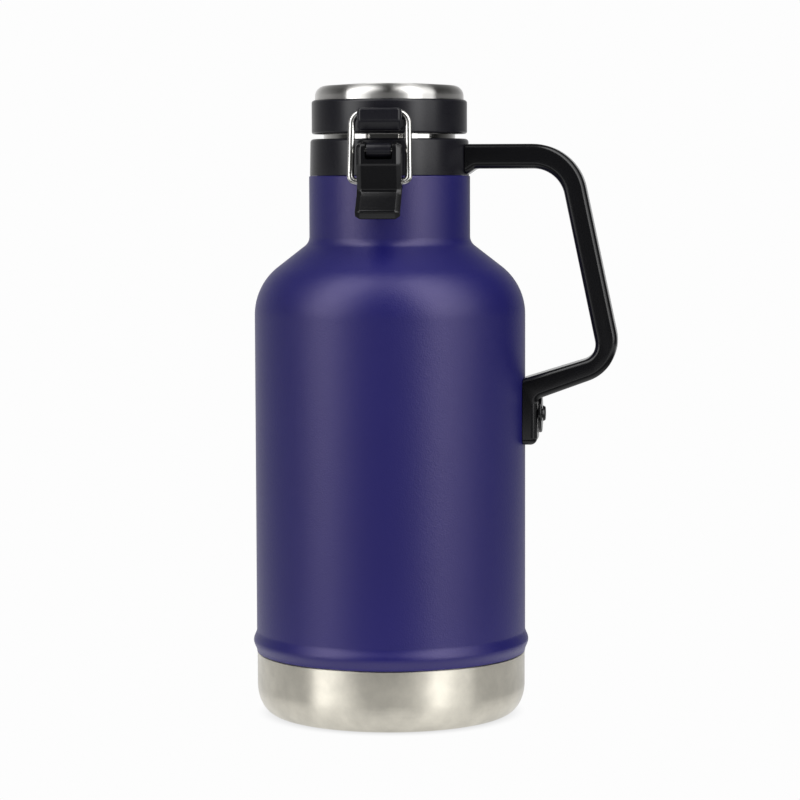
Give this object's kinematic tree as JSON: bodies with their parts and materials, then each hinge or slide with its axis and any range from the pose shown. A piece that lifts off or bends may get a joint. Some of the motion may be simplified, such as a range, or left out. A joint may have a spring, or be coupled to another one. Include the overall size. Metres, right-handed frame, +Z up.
{
  "type": "growler",
  "caption": "Vacuum-walled steel growler with a painted body, D-shaped side grip and hinged lid held by a wire-bail draw latch.",
  "frame": {"origin": "centre of the flat base, on the bottle's axis", "axes": "+Z up along the bottle's axis, +X towards the grip, -Y towards the latch, +Y towards the lid's hinge"},
  "size_m": [0.1623, 0.1228, 0.2797],
  "materials": {
    "indigo_paint": "matt powder coat",
    "brushed_steel": "brushed",
    "polished_steel": "polished",
    "black_steel": "satin black",
    "charcoal_plastic": "satin",
    "black_plastic": "semi-gloss",
    "silicone": "matt",
    "foam": "matt"
  },
  "bodies": {
    "bottle": {"outer_shell": "indigo_paint", "base_cup": "brushed_steel", "base_plate": "brushed_steel", "vacuum_seal": "brushed_steel", "inner_bottle": "brushed_steel", "getter": "brushed_steel", "mouth_ring": "polished_steel", "collar": "charcoal_plastic", "handle": "black_plastic", "foot_boss": "brushed_steel", "handle_washer": "black_plastic", "handle_screw": "black_steel", "hinge_pin": "polished_steel", "latch_pin": "polished_steel"},
    "lid": {"lid_ring": "charcoal_plastic", "lid_cap": "polished_steel", "lid_plug": "charcoal_plastic", "lid_insulation": "foam", "lid_gasket": "silicone", "lid_screw": "brushed_steel"},
    "lever": {"latch_lever": "black_plastic"},
    "sleeve": {"bail_sleeve": "polished_steel"},
    "bail": {"latch_bail": "polished_steel"}
  },
  "joints": [
    {"name": "lid_hinge", "type": "hinge", "parent": "bottle", "child": "lid", "pos_m": [0, 0.042, 0.2566], "axis": [-1, 0, 0], "range_deg": [0, 110]},
    {"name": "latch_lever_pivot", "type": "hinge", "parent": "bottle", "child": "lever", "pos_m": [0, -0.041, 0.25], "axis": [-1, 0, 0], "range_deg": [0, 85]},
    {"name": "bail_lift", "type": "hinge", "parent": "lever", "child": "sleeve", "pos_m": [0, -0.0394, 0.2363], "axis": [-1, 0, 0], "range_deg": [-51, 0]},
    {"name": "bail_swing", "type": "hinge", "parent": "sleeve", "child": "bail", "pos_m": [0, -0.0394, 0.2363], "axis": [1, 0, 0], "range_deg": [0, 110]}
  ],
  "couplings": [
    {"joint": "bail_lift", "follows": "latch_lever_pivot", "ratio": -0.6}
  ]
}
